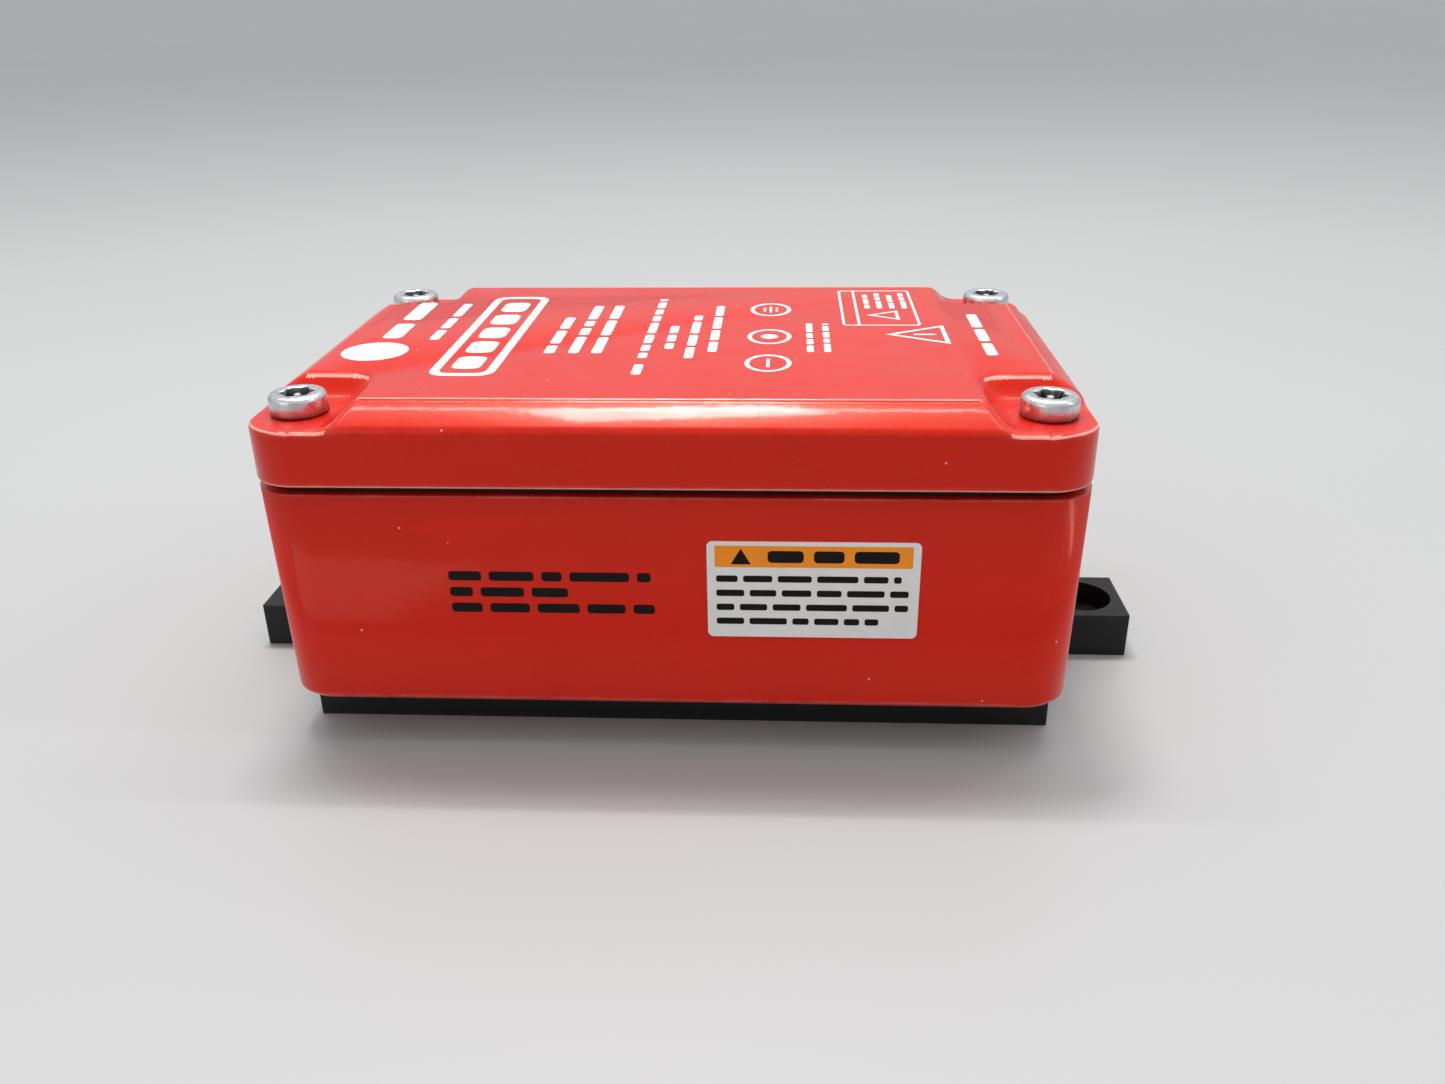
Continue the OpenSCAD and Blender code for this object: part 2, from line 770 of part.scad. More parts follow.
// Moulded block: plunger channel, contact bay and six terminal seats with barriers
module contact_block() {
    color(BLACK) difference() {
        block([block_x0, -block_half_w, block_z0], [block_x1, block_half_w, block_z1]);
        block([block_x0 - past, -channel_half, channel_z], [spring_wall_x, channel_half, block_z1 + past]);
        block([bay_x0, -bay_half, bay_z], [bay_x1, bay_half, block_z1 + past]);
        for (s = [-1, 1], i = [0 : 2]) {
            x_mid = pole_x[i] + terminal_dx;
            half = (seat_pitch - barrier_t) / 2;
            x_right = i == 2 ? bay_x1 : x_mid + half;
            block([x_mid - half, s < 0 ? -block_half_w - past : core_half, bay_z],
                  [x_right, s < 0 ? -core_half : block_half_w + past, block_z1 + past]);
            block([tab_x0(i) - snug, s < 0 ? -core_half - past : bay_half - past, bay_z],
                  [tab_x1(i) + snug, s < 0 ? -bay_half + past : core_half + past, bay_z + tab_slot_h]);
            translate([x_mid, s * terminal_y, bay_z + strip_t + clamp_t - terminal_screw_len - snug])
                cylinder(r = terminal_screw_r + snug, h = long);
        }
        for (x = block_screw_x, s = [-1, 1]) {
            x0 = x < 0 ? block_x0 - past : bay_x1 + barrier_t;
            x1 = x < 0 ? bay_x0 + barrier_t : block_x1 + past;
            block([x0, s < 0 ? -block_half_w - past : core_half, block_seat_z],
                  [x1, s < 0 ? -core_half : block_half_w + past, block_z1 + past]);
            translate([x, s * block_screw_y, block_z0 - past])
                cylinder(r = block_screw_r + screw_play, h = long);
        }
        for (x = block_cover_screw_x, s = [-1, 1])
            translate([x, s * block_cover_screw_y, block_z1 + cover_plate_t - block_cover_screw_len - blind])
                cylinder(r = block_cover_screw_r + snug, h = long);
    }
}

// Flat cover over the contact bay
module block_cover() {
    color("#3a3d42") difference() {
        union() {
            block([block_x0, -core_half, block_z1], [block_x1, core_half, block_z1 + cover_plate_t]);
            for (s = [-1, 1]) translate([bay_x0 + block_rib_in, s * block_rib_y - block_rib_w / 2, block_z1])
                cube([bay_x1 - bay_x0 - 2 * block_rib_in, block_rib_w, cover_plate_t + block_rib_h]);
        }
        for (x = block_cover_screw_x, s = [-1, 1])
            translate([x, s * block_cover_screw_y, block_z1 - past])
                cylinder(r = block_cover_screw_r + screw_play, h = long);
    }
}

module block_cover_screws() {
    color(ZINC) for (x = block_cover_screw_x, s = [-1, 1])
        translate([x, s * block_cover_screw_y, block_z1 + cover_plate_t])
            cross_screw(block_cover_head_r, block_cover_head_h, block_cover_screw_r, block_cover_screw_len);
}

// Screws that hold the block down on the floor pads
module block_screws() {
    color(ZINC) for (x = block_screw_x, s = [-1, 1])
        translate([x, s * block_screw_y, block_seat_z])
            cross_screw(block_head_r, block_head_h, block_screw_r, block_screw_len);
}

// Fixed contacts: an upright strip in the bay and a flat terminal tab
module fixed_contacts() {
    color(BRASS) for (i = [0 : 2], s = [0, 1]) mirror([0, s, 0]) {
        side = pole_side(i);
        near = strip_face(i);
        difference() {
            union() {
                block([min(near, near + side * strip_t), strip_y, bay_z],
                      [max(near, near + side * strip_t), bay_half, shaft_z + strip_top]);
                block([tab_x0(i), bay_half - 1.5, bay_z], [tab_x1(i), block_half_w - 1, bay_z + strip_t]);
            }
            translate([pole_x[i] + terminal_dx, terminal_y, bay_z - past])
                cylinder(r = tab_hole_r, h = strip_t + 2 * past);
        }
    }
}

// Silver tips on the fixed contacts
module fixed_tips() {
    color(SILVER) for (i = [0 : 2], s = [-1, 1]) tip(strip_face(i), s * tip_y, -pole_side(i));
}

// Terminal screws, each with a square clamp under its head
module terminal_screws() {
    color(ZINC) for (x = pole_x, s = [-1, 1])
        translate([x + terminal_dx, s * terminal_y, bay_z + strip_t + clamp_t])
            cross_screw(terminal_head_r, terminal_head_h, terminal_screw_r, terminal_screw_len);
}

module wire_clamps() {
    color(BRASS) for (x = pole_x, s = [-1, 1])
        translate([x + terminal_dx, s * terminal_y, bay_z + strip_t]) difference() {
            translate([-clamp_l / 2, -clamp_w / 2, 0]) cube([clamp_l, clamp_w, clamp_t]);
            translate([0, 0, -past]) cylinder(r = terminal_screw_r + 2 * running, h = long);
            for (y = [-1, 1])
                translate([-long / 2, y * clamp_groove_y - clamp_groove_w / 2, -past])
                    cube([long, clamp_groove_w, past + clamp_groove_depth]);
        }
}

// Earth terminal on the floor of the wiring space
module earth_screw() {
    color(BRASS) translate([earth_x, earth_y, floor_z + earth_pad_h + earth_plate_t])
        cross_screw(earth_head_r, earth_head_h, earth_screw_r, earth_screw_len);
}

module earth_clamp() {
    color("#3f7f3a") translate([earth_x, earth_y, floor_z + earth_pad_h]) difference() {
        translate([-earth_plate_l / 2, -earth_plate_l / 2, 0])
            cube([earth_plate_l, earth_plate_l, earth_plate_t]);
        translate([0, 0, -past]) cylinder(r = earth_screw_r + 2 * running, h = long);
    }
}

// ---------------------------------------------------------------- drawing

mounting_plate();
plate_screws();
housing();
gasket();
lid();
cover_screws();
side_label();
shaft();
rear_bush();
front_bush();
shaft_seal();
thrust_washer();
retaining_ring();
cam();
cam_set_screw();
roller();
roller_pin();
plunger();
contact_bridges();
bridge_tips();
bridge_springs();
return_spring();
contact_block();
block_cover();
block_cover_screws();
block_screws();
fixed_contacts();
fixed_tips();
terminal_screws();
wire_clamps();
earth_screw();
earth_clamp();
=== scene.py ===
"""Looks of a hinge-operated rotary cam limit switch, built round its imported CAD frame.

Every length is in metres, written as a number of millimetres times MM. Places come from the CAD
nodes' boxes. Pieces that replace a CAD node keep its size and place.
"""

import json
import math
import random

import bmesh
import bpy
from mathutils import Matrix, Vector


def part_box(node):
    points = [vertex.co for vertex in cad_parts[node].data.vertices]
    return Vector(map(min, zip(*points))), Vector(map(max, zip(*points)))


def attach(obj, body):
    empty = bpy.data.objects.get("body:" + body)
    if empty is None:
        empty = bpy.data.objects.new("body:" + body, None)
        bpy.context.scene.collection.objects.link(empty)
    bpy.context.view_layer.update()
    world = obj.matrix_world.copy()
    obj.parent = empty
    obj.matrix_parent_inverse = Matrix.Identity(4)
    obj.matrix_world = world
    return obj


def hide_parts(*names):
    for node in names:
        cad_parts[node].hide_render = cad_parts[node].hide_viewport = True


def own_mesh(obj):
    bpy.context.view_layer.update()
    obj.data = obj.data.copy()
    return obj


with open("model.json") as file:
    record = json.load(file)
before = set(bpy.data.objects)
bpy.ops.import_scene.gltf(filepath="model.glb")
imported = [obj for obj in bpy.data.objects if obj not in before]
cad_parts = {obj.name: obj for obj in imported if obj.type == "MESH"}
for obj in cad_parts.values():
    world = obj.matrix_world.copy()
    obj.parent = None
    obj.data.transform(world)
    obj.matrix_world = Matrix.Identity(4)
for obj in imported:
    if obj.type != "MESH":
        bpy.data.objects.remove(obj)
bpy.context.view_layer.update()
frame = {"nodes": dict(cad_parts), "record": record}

MM = 0.001

# ------------------------------------------------------------------ places taken from the frame

LID_LO, LID_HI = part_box("lid")
BOX_LO, BOX_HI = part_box("housing")
SCREWS_LO, SCREWS_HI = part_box("cover_screws")
LABEL_LO, LABEL_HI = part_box("side_label")

COVER_HEAD_R = 4.75 * MM
COVER_HEAD_H = 3.6 * MM
COVER_SHANK_R = 2.45 * MM
COVER_SCREW_X = SCREWS_HI.x - COVER_HEAD_R
COVER_SCREW_Y = SCREWS_HI.y - COVER_HEAD_R
SHOULDER_Z = SCREWS_HI.z - COVER_HEAD_H
RIM_Z = BOX_HI.z
BOX_RIM_Y = -BOX_LO.y
BOX_DRAFT = 0.6 * MM
BOX_EDGE = 1.0 * MM


# ------------------------------------------------------------------ camera, floor and lights

SENSOR_W = 36.0
LENS = 30.0656
CAMERA_AT = Vector((18.95, -222.58, 123.07)) * MM
PITCH, YAW, ROLL = math.radians(24.75), math.radians(3.178), math.radians(-0.80)


def make_camera():
    """Camera at the viewing angle: pitched down, turned a little left, rolled a little."""
    forward = Vector((
        -math.sin(YAW) * math.cos(PITCH),
        math.cos(YAW) * math.cos(PITCH),
        -math.sin(PITCH),
    ))
    right = Vector((math.cos(YAW), math.sin(YAW), 0))
    up = right.cross(forward)
    rolled_right = right * math.cos(ROLL) + up * math.sin(ROLL)
    rolled_up = up * math.cos(ROLL) - right * math.sin(ROLL)
    turn = Matrix((rolled_right, rolled_up, -forward)).transposed()
    data = bpy.data.cameras.new("camera")
    data.sensor_width = SENSOR_W
    data.lens = LENS
    data.clip_start = 5 * MM
    camera = bpy.data.objects.new("camera", data)
    camera.matrix_world = Matrix.Translation(CAMERA_AT) @ turn.to_4x4()
    bpy.context.scene.collection.objects.link(camera)
    bpy.context.scene.camera = camera


def make_floor():
    """Plain pale floor that reaches the horizon, a hair below the plate's underside."""
    half, z = 60.0, -0.02 * MM
    mesh = bpy.data.meshes.new("floor")
    corners = [(-half, -half, z), (half, -half, z), (half, half, z), (-half, half, z)]
    mesh.from_pydata(corners, [], [(0, 1, 2, 3)])
    floor = bpy.data.objects.new("floor", mesh)
    bpy.context.scene.collection.objects.link(floor)
    mesh.materials.append(floor_material())


def area_light(name, at, target, size, power):
    """White rectangular lamp of that size at one point, aimed at another."""
    data = bpy.data.lights.new(name, "AREA")
    data.shape = "RECTANGLE"
    data.size, data.size_y = size
    data.energy = power
    light = bpy.data.objects.new(name, data)
    direction = Vector(target) - Vector(at)
    light.rotation_euler = direction.to_track_quat("-Z", "Y").to_euler()
    light.location = at
    bpy.context.scene.collection.objects.link(light)


def make_lights():
    """Lamps overhead that show in the cover's bank, soft light from the sides and a pale sky."""
    area_light("lamp", (-0.08, 0.18, 0.95), (0, 0, 0.06), (0.26, 0.14), 5.0)
    area_light("strip", (0, 0.26, 1.10), (0, 0, 0.06), (1.3, 0.03), 4.3)
    area_light("front_left", (-0.9, -1.1, 0.5), (0, 0, 0.03), (0.9, 0.8), 2.0)
    area_light("right", (1.0, -0.15, 0.75), (0, 0, 0.05), (0.12, 0.6), 1.3)
    sun = bpy.data.lights.new("ceiling", "SUN")
    sun.energy = 0.35
    sun.angle = math.radians(70)
    ceiling = bpy.data.objects.new("ceiling", sun)
    ceiling.rotation_euler = (math.radians(-20), math.radians(8), 0)
    bpy.context.scene.collection.objects.link(ceiling)
    make_sky()
    bpy.context.scene.view_settings.view_transform = "Standard"


def make_sky():
    """Pale sky that fades towards the floor's grey at the horizon."""
    world = bpy.data.worlds.new("sky")
    world.use_nodes = True
    tree = world.node_tree
    place = tree.nodes.new("ShaderNodeTexCoord").outputs["Generated"]
    parts = tree.nodes.new("ShaderNodeSeparateXYZ")
    tree.links.new(place, parts.inputs[0])
    ramp = tree.nodes.new("ShaderNodeValToRGB")
    ramp.color_ramp.elements[0].position = 0.0
    ramp.color_ramp.elements[0].color = (0.55, 0.56, 0.565, 1)
    ramp.color_ramp.elements[1].position = 0.45
    ramp.color_ramp.elements[1].color = (0.95, 0.97, 1.0, 1)
    tree.links.new(parts.outputs["Z"], ramp.inputs[0])
    background = tree.nodes["Background"]
    tree.links.new(ramp.outputs["Color"], background.inputs["Color"])
    background.inputs["Strength"].default_value = 0.72
    bpy.context.scene.world = world


# ------------------------------------------------------------------ material tools

EDGE_REACH = 0.9 * MM
HOLLOW_REACH = 2.5 * MM
OCCLUSION_SAMPLES = 4


class Shader:
    """A Principled material whose nodes are added one call at a time, in object coordinates."""

    def __init__(self, name, **values):
        self.material = bpy.data.materials.new(name)
        self.material.use_nodes = True
        self.tree = self.material.node_tree
        self.bsdf = self.tree.nodes["Principled BSDF"]
        self.place = self.tree.nodes.new("ShaderNodeTexCoord").outputs["Object"]
        for socket, value in values.items():
            self.bsdf.inputs[socket.replace("_", " ")].default_value = value

    def add(self, kind, **inputs):
        made = self.tree.nodes.new("ShaderNode" + kind)
        for socket, value in inputs.items():
            self.feed(made.inputs[socket.replace("_", " ")], value)
        return made

    def feed(self, socket, value):
        if isinstance(value, bpy.types.NodeSocket):
            self.tree.links.new(value, socket)
        else:
            socket.default_value = value

    def noise(self, size, detail=3.0, roughness=0.5, stretch=None):
        """Noise from 0 to 1 with blobs about size metres across."""
        place = self.place
        if stretch:
            mapped = self.add("Mapping", Vector=place)
            mapped.inputs["Scale"].default_value = stretch
            place = mapped.outputs[0]
        made = self.add(
            "TexNoise", Vector=place, Scale=1 / size, Detail=detail, Roughness=roughness
        )
        return made.outputs["Fac"]

    def specks(self, size, share):
        """Round spots of about size metres, 1 inside and 0 outside, in that share of the cells."""
        spot_radius = 0.16
        cells = self.add("TexVoronoi", Vector=self.place, Scale=1 / size)
        cell_draw = self.add("SeparateColor", Color=cells.outputs["Color"]).outputs[0]
        picked = self.math("LESS_THAN", cell_draw, share)
        near = self.math("LESS_THAN", cells.outputs["Distance"], spot_radius)
        return self.math("MULTIPLY", picked, near)

    def math(self, operation, a, b):
        made = self.tree.nodes.new("ShaderNodeMath")
        made.operation = operation
        self.feed(made.inputs[0], a)
        self.feed(made.inputs[1], b)
        return made.outputs[0]

    def span(self, value, low, high, to_low=0.0, to_high=1.0):
        """Stretches low..high to to_low..to_high and clamps."""
        made = self.add("MapRange", Value=value)
        made.inputs["From Min"].default_value = low
        made.inputs["From Max"].default_value = high
        made.inputs["To Min"].default_value = to_low
        made.inputs["To Max"].default_value = to_high
        return made.outputs["Result"]

    def mix(self, share, a, b):
        made = self.tree.nodes.new("ShaderNodeMix")
        made.data_type = "RGBA"
        self.feed(made.inputs["Factor"], share)
        self.feed(made.inputs["A"], a)
        self.feed(made.inputs["B"], b)
        return made.outputs["Result"]

    def edges(self):
        """1 on convex edges and 0 on flats: how much of the surface lies close behind each point."""
        made = self.add("AmbientOcclusion", Distance=EDGE_REACH)
        made.inside = True
        made.only_local = True
        made.samples = OCCLUSION_SAMPLES
        return self.span(made.outputs["AO"], 0.92, 0.55)

    def hollows(self):
        """1 in recesses and tight corners, 0 on open faces."""
        made = self.add("AmbientOcclusion", Distance=HOLLOW_REACH)
        made.samples = OCCLUSION_SAMPLES
        return self.span(made.outputs["AO"], 0.8, 0.35)

    def bump(self, height, depth, under=None):
        """Raises the surface by up to depth metres."""
        made = self.add("Bump", Height=height, Distance=depth)
        made.inputs["Strength"].default_value = 1.0
        if under is not None:
            self.feed(made.inputs["Normal"], under)
        return made.outputs["Normal"]

    def set(self, **inputs):
        for socket, value in inputs.items():
            self.feed(self.bsdf.inputs[socket.replace("_", " ")], value)
        return self


def rgb(red, green, blue):
    return (red, green, blue, 1.0)


def scaled(colour, factor, lift=0.0):
    """A colour made brighter or darker, held at white."""
    return rgb(*[min(1.0, factor * c + lift) for c in colour])


def floor_material():
    """Even pale grey with broad, faint patches."""
    shader = Shader("floor", Roughness=0.45)
    shade = shader.noise(0.4, detail=2)
    colour = shader.mix(shade, rgb(0.42, 0.42, 0.415), rgb(0.46, 0.46, 0.455))
    return shader.set(Base_Color=colour).material


def paint_material(name, dark, light, coat, patch=14 * MM):
    """Glossy red powder coat: orange peel, faint patches, dust specks, and edges lightened partly as
    worn paint and partly as a painted highlight.
    """
    shader = Shader(name, Coat_Weight=coat, Coat_Roughness=0.08, IOR=1.45,
                    Specular_Tint=rgb(1.0, 0.32, 0.18))
    colour = shader.mix(shader.noise(patch, detail=3), rgb(*dark), rgb(*light))
    wear = shader.span(shader.noise(5 * MM, detail=5), 0.36, 0.62, 0.1, 0.85)
    # Paler red on convex edges: partly worn paint, partly a painted highlight where crisp edges catch
    # the lamps.
    edge_wear_and_highlight = shader.math("MULTIPLY", shader.edges(), wear)
    colour = shader.mix(edge_wear_and_highlight, colour, rgb(0.86, 0.30, 0.25))
    dust = shader.math("MULTIPLY", shader.specks(1.3 * MM, 0.01), 0.7)
    colour = shader.mix(dust, colour, rgb(0.80, 0.50, 0.46))
    peel = shader.bump(shader.noise(1.9 * MM, detail=2), 0.018 * MM)
    fine = shader.bump(shader.noise(0.5 * MM, detail=1), 0.002 * MM, peel)
    rough = shader.span(shader.noise(9 * MM, detail=4), 0.3, 0.7, 0.24, 0.34)
    return shader.set(Base_Color=colour, Roughness=rough, Normal=fine, Coat_Normal=peel).material


def casting_material():
    """The same red, thinner and duller, inside the box and the cover, with painted shade darkening its
    recesses.
    """
    shader = Shader("red_inside", Specular_IOR_Level=0.35)
    colour = shader.mix(shader.noise(9 * MM), rgb(0.36, 0.014, 0.009), rgb(0.46, 0.024, 0.015))
    # Painted shade: darker red in recesses and tight corners.
    colour = shader.mix(shader.hollows(), colour, rgb(0.15, 0.006, 0.004))
    normal = shader.bump(shader.noise(0.9 * MM, detail=4), 0.03 * MM)
    return shader.set(Base_Color=colour, Roughness=0.5, Normal=normal).material


def moulded_material(name, dark, light, rough=(0.45, 0.6)):
    """Moulded plastic or rubber: fine grain, faint patches and rubbed edges."""
    shader = Shader(name, Specular_IOR_Level=0.3)
    colour = shader.mix(shader.noise(12 * MM, detail=4), rgb(*dark), rgb(*light))
    rubbed = shader.math("MULTIPLY", shader.edges(), 0.35)
    colour = shader.mix(rubbed, colour, scaled(light, 1.9, 0.02))
    dust = shader.math("MULTIPLY", shader.specks(1.6 * MM, 0.02), 0.4)
    colour = shader.mix(dust, colour, rgb(0.45, 0.44, 0.42))
    normal = shader.bump(shader.noise(0.35 * MM, detail=3), 0.012 * MM)
    roughness = shader.span(shader.noise(6 * MM), 0.3, 0.7, *rough)
    return shader.set(Base_Color=colour, Roughness=roughness, Normal=normal).material


def metal_material(name, dark, light, rough=(0.2, 0.35), grain=0.6, depth=0.01, stretch=None):
    """Metal with a mottled or drawn finish, bright edges and painted shade darkening its hollows; grain
    and depth are in millimetres.
    """
    shader = Shader(name, Metallic=1.0)
    colour = shader.mix(shader.noise(2.2 * MM, detail=5), rgb(*dark), rgb(*light))
    bright = shader.math("MULTIPLY", shader.edges(), 0.6)
    colour = shader.mix(bright, colour, scaled(light, 1.15))
    # Painted shade: the colour darkens in hollows, recesses and thread grooves.
    colour = shader.mix(shader.hollows(), colour, scaled(dark, 0.10))
    grainy = shader.noise(grain * MM, detail=4, stretch=stretch)
    normal = shader.bump(grainy, depth * MM)
    roughness = shader.span(grainy, 0.3, 0.7, *rough)
    return shader.set(Base_Color=colour, Roughness=roughness, Normal=normal).material


def film_material(name, base, tint, rough=0.42, coat=0.15, gloss=0.35):
    """Printed film: nearly even colour, a little soiled, with a faint ripple."""
    shader = Shader(name, Coat_Weight=coat, Coat_Roughness=0.25, Specular_IOR_Level=gloss)
    soil = shader.span(shader.noise(6 * MM, detail=5, roughness=0.6), 0.45, 0.8, 0.0, 0.5)
    colour = shader.mix(soil, rgb(*base), rgb(*tint))
    normal = shader.bump(shader.noise(3 * MM, detail=2), 0.006 * MM)
    return shader.set(Base_Color=colour, Roughness=rough, Normal=normal).material


def make_materials():
    """Every material by name: the record's slots, then those that only scene pieces use."""
    return {
        "red_paint": paint_material("red_paint", (0.56, 0.008, 0.002), (0.63, 0.012, 0.004), 0.22),
        # red_edge: paler red for crisp edges, partly worn paint, partly a painted highlight.
        "red_edge": paint_material("red_edge", (0.75, 0.15, 0.11), (0.98, 0.52, 0.45), 0.6,
                                   patch=2.5 * MM),
        "red_inside": casting_material(),
        "black_plate": moulded_material("black_plate", (0.004, 0.004, 0.005), (0.009, 0.009, 0.010),
                                        rough=(0.42, 0.55)),
        "zinc_plate": metal_material("zinc_plate", (0.42, 0.43, 0.45), (0.88, 0.89, 0.91),
                                     rough=(0.22, 0.42), grain=0.55, depth=0.06),
        "cast_metal": metal_material("cast_metal", (0.42, 0.42, 0.43), (0.60, 0.60, 0.61),
                                     depth=0.02),
        # A darker copy of the zinc for the screw recesses: painted shade.
        "recess": metal_material("recess", (0.07, 0.07, 0.075), (0.20, 0.21, 0.22), rough=(0.3, 0.5)),
        "rubber": moulded_material("rubber", (0.008, 0.008, 0.008), (0.018, 0.018, 0.018),
                                   rough=(0.6, 0.75)),
        "label_film": film_material("label_film", (0.76, 0.745, 0.72), (0.66, 0.64, 0.61)),
        "stainless": metal_material("stainless", (0.50, 0.50, 0.52), (0.68, 0.68, 0.70),
                                    rough=(0.18, 0.28), grain=0.3, depth=0.004,
                                    stretch=(0.15, 1, 1)),
        "bronze": metal_material("bronze", (0.45, 0.29, 0.12), (0.62, 0.43, 0.20), depth=0.02),
        "spring_steel": metal_material("spring_steel", (0.30, 0.30, 0.31), (0.48, 0.48, 0.50)),
        "tool_steel": metal_material("tool_steel", (0.20, 0.20, 0.21), (0.34, 0.34, 0.36), depth=0.02),
        "white_plastic": moulded_material("white_plastic", (0.66, 0.63, 0.56), (0.74, 0.71, 0.64)),
        "brass": metal_material("brass", (0.58, 0.40, 0.14), (0.78, 0.58, 0.26)),
        "silver": metal_material("silver", (0.70, 0.70, 0.71), (0.88, 0.88, 0.89)),
        "black_plastic": moulded_material("black_plastic", (0.016, 0.016, 0.018), (0.03, 0.03, 0.032)),
        "grey_plastic": moulded_material("grey_plastic", (0.06, 0.065, 0.075), (0.09, 0.095, 0.105)),
        "green_plate": metal_material("green_plate", (0.05, 0.20, 0.05), (0.08, 0.28, 0.08)),
        "white_ink": film_material("white_ink", (0.86, 0.84, 0.84), (0.74, 0.60, 0.58), rough=0.35),
        "amber_ink": film_material("amber_ink", (0.92, 0.27, 0.002), (0.80, 0.23, 0.004), coat=0),
        "black_ink": film_material("black_ink", (0.007, 0.004, 0.004), (0.02, 0.007, 0.005), coat=0,
                                   gloss=0.12),
    }


# ------------------------------------------------------------------ mesh tools


def add_piece(name, mesh, material, body, smooth_angle=35):
    """A finished mesh becomes a piece that rides on a body."""
    piece = bpy.data.objects.new(name, mesh)
    bpy.context.scene.collection.objects.link(piece)
    mesh.materials.clear()
    mesh.materials.append(MATERIALS[material])
    mesh.shade_smooth()
    mesh.set_sharp_from_angle(angle=math.radians(smooth_angle))
    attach(piece, body)
    return piece


def mesh_from(name, points, faces):
    """A mesh of those points and faces, without any bad face."""
    mesh = bpy.data.meshes.new(name)
    mesh.from_pydata([tuple(p) for p in points], [], faces)
    mesh.validate()
    return mesh


def loft(name, rings, close_start=True, close_end=True):
    """Skin over closed rings of equal length, each a list of points in the same order."""
    count = len(rings[0])
    points = [p for ring in rings for p in ring]
    faces = []
    for i in range(len(rings) - 1):
        low, high = i * count, (i + 1) * count
        for k in range(count):
            m = (k + 1) % count
            faces.append((low + k, low + m, high + m, high + k))
    if close_start:
        faces.append(tuple(reversed(range(count))))
    if close_end:
        faces.append(tuple(range(len(points) - count, len(points))))
    return mesh_from(name, points, faces)


def arc(centre, radius, start, end, steps):
    """Points on an arc from start to end, in degrees."""
    found = []
    for i in range(steps + 1):
        a = math.radians(start + (end - start) * i / steps)
        found.append(Vector((centre[0] + radius * math.cos(a), centre[1] + radius * math.sin(a))))
    return found


def mirrored(quadrant):
    """The outline through all four quadrants, anticlockwise, from its part with x and y above 0."""
    second = [Vector((-p.x, p.y)) for p in reversed(quadrant)]
    third = [Vector((-p.x, -p.y)) for p in quadrant]
    fourth = [Vector((p.x, -p.y)) for p in reversed(quadrant)]
    return quadrant + second + third + fourth


def at_height(outline, z):
    """A flat outline lifted to z."""
    return [Vector((p.x, p.y, z)) for p in outline]


def modified(piece, kind, **settings):
    """Adds a modifier with those settings."""
    made = piece.modifiers.new(kind.lower(), kind)
    for key, value in settings.items():
        setattr(made, key, value)
    return made


def repainted(piece, material, chosen):
    """Gives a second material to the faces that chosen(face) picks."""
    piece.data.materials.append(MATERIALS[material])
    for face in piece.data.polygons:
        if chosen(face):
            face.material_index = len(piece.data.materials) - 1


def refined(node, material, body, bevel, segments=3, edge=None):
    """A copy of a CAD node's mesh with its flats joined up and its edges rounded.

    The rounded edges take the edge material if one is named.
    """
    mesh = frame["nodes"][node].data.copy()
    mesh.name = node + "_finished"
    work = bmesh.new()
    work.from_mesh(mesh)
    bmesh.ops.remove_doubles(work, verts=work.verts, dist=1e-6)
    bmesh.ops.dissolve_limit(
        work, angle_limit=math.radians(0.5), verts=work.verts, edges=work.edges
    )
    work.to_mesh(mesh)
    work.free()
    for attribute in ("custom_normal", "sharp_edge", "sharp_face"):
        if attribute in mesh.attributes:
            mesh.attributes.remove(mesh.attributes[attribute])
    piece = add_piece(mesh.name, mesh, material, body)
    if edge:
        mesh.materials.append(MATERIALS[edge])
    if bevel:
        modified(piece, "BEVEL", width=bevel, segments=segments, limit_method="ANGLE",
                 angle_limit=math.radians(40), harden_normals=False, use_clamp_overlap=True,
                 material=1 if edge else -1)
    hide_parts(node)
    return piece


# ------------------------------------------------------------------ the cover

# In plan: the panel's edges, the inner corners of its notches, and their rounding
PANEL_X = LID_HI.x - 5.4 * MM
PANEL_Y = LID_HI.y - 6.2 * MM
PANEL_INSET = 0.6 * MM
NOTCH_X = 50.6 * MM
NOTCH_Y = 24.6 * MM
CONVEX_R = 2.0 * MM
CONCAVE_R = 5.0 * MM
COVER_CORNER = 8 * MM
ARC_STEPS = 16

# In height: the banks, the slopes of the notches, and the fillets between them
BANK_DROP = LID_HI.z - SHOULDER_Z + 0.8 * MM
NOTCH_SLOPE = 1.05
NOTCH_FOOT_BLEND = 1.8 * MM
NOTCH_LIP_BLEND = 1.3 * MM
SIDE_BLEND = 1.4 * MM
SHOULDER_ROUND = 0.8 * MM
LOW_EDGE_R = 0.6 * MM

# The hollow underneath
CEILING_Z = LID_HI.z - 3.0 * MM
HOLLOW_X = LID_HI.x - 9 * MM
HOLLOW_Y = LID_HI.y - 9.7 * MM
HOLLOW_NOTCH_X = NOTCH_X - 2 * MM
HOLLOW_NOTCH_Y = NOTCH_Y - 1.5 * MM

# A face whose normal rises less than this doesn't look up
LOOKS_UP = 0.3


def greater(a, b, blend):
    """The greater of two drops, with a fillet where they cross."""
    if blend <= 0:
        return max(a, b)
    near = max(blend - abs(a - b), 0)
    return max(a, b) + near * near / (4 * blend)


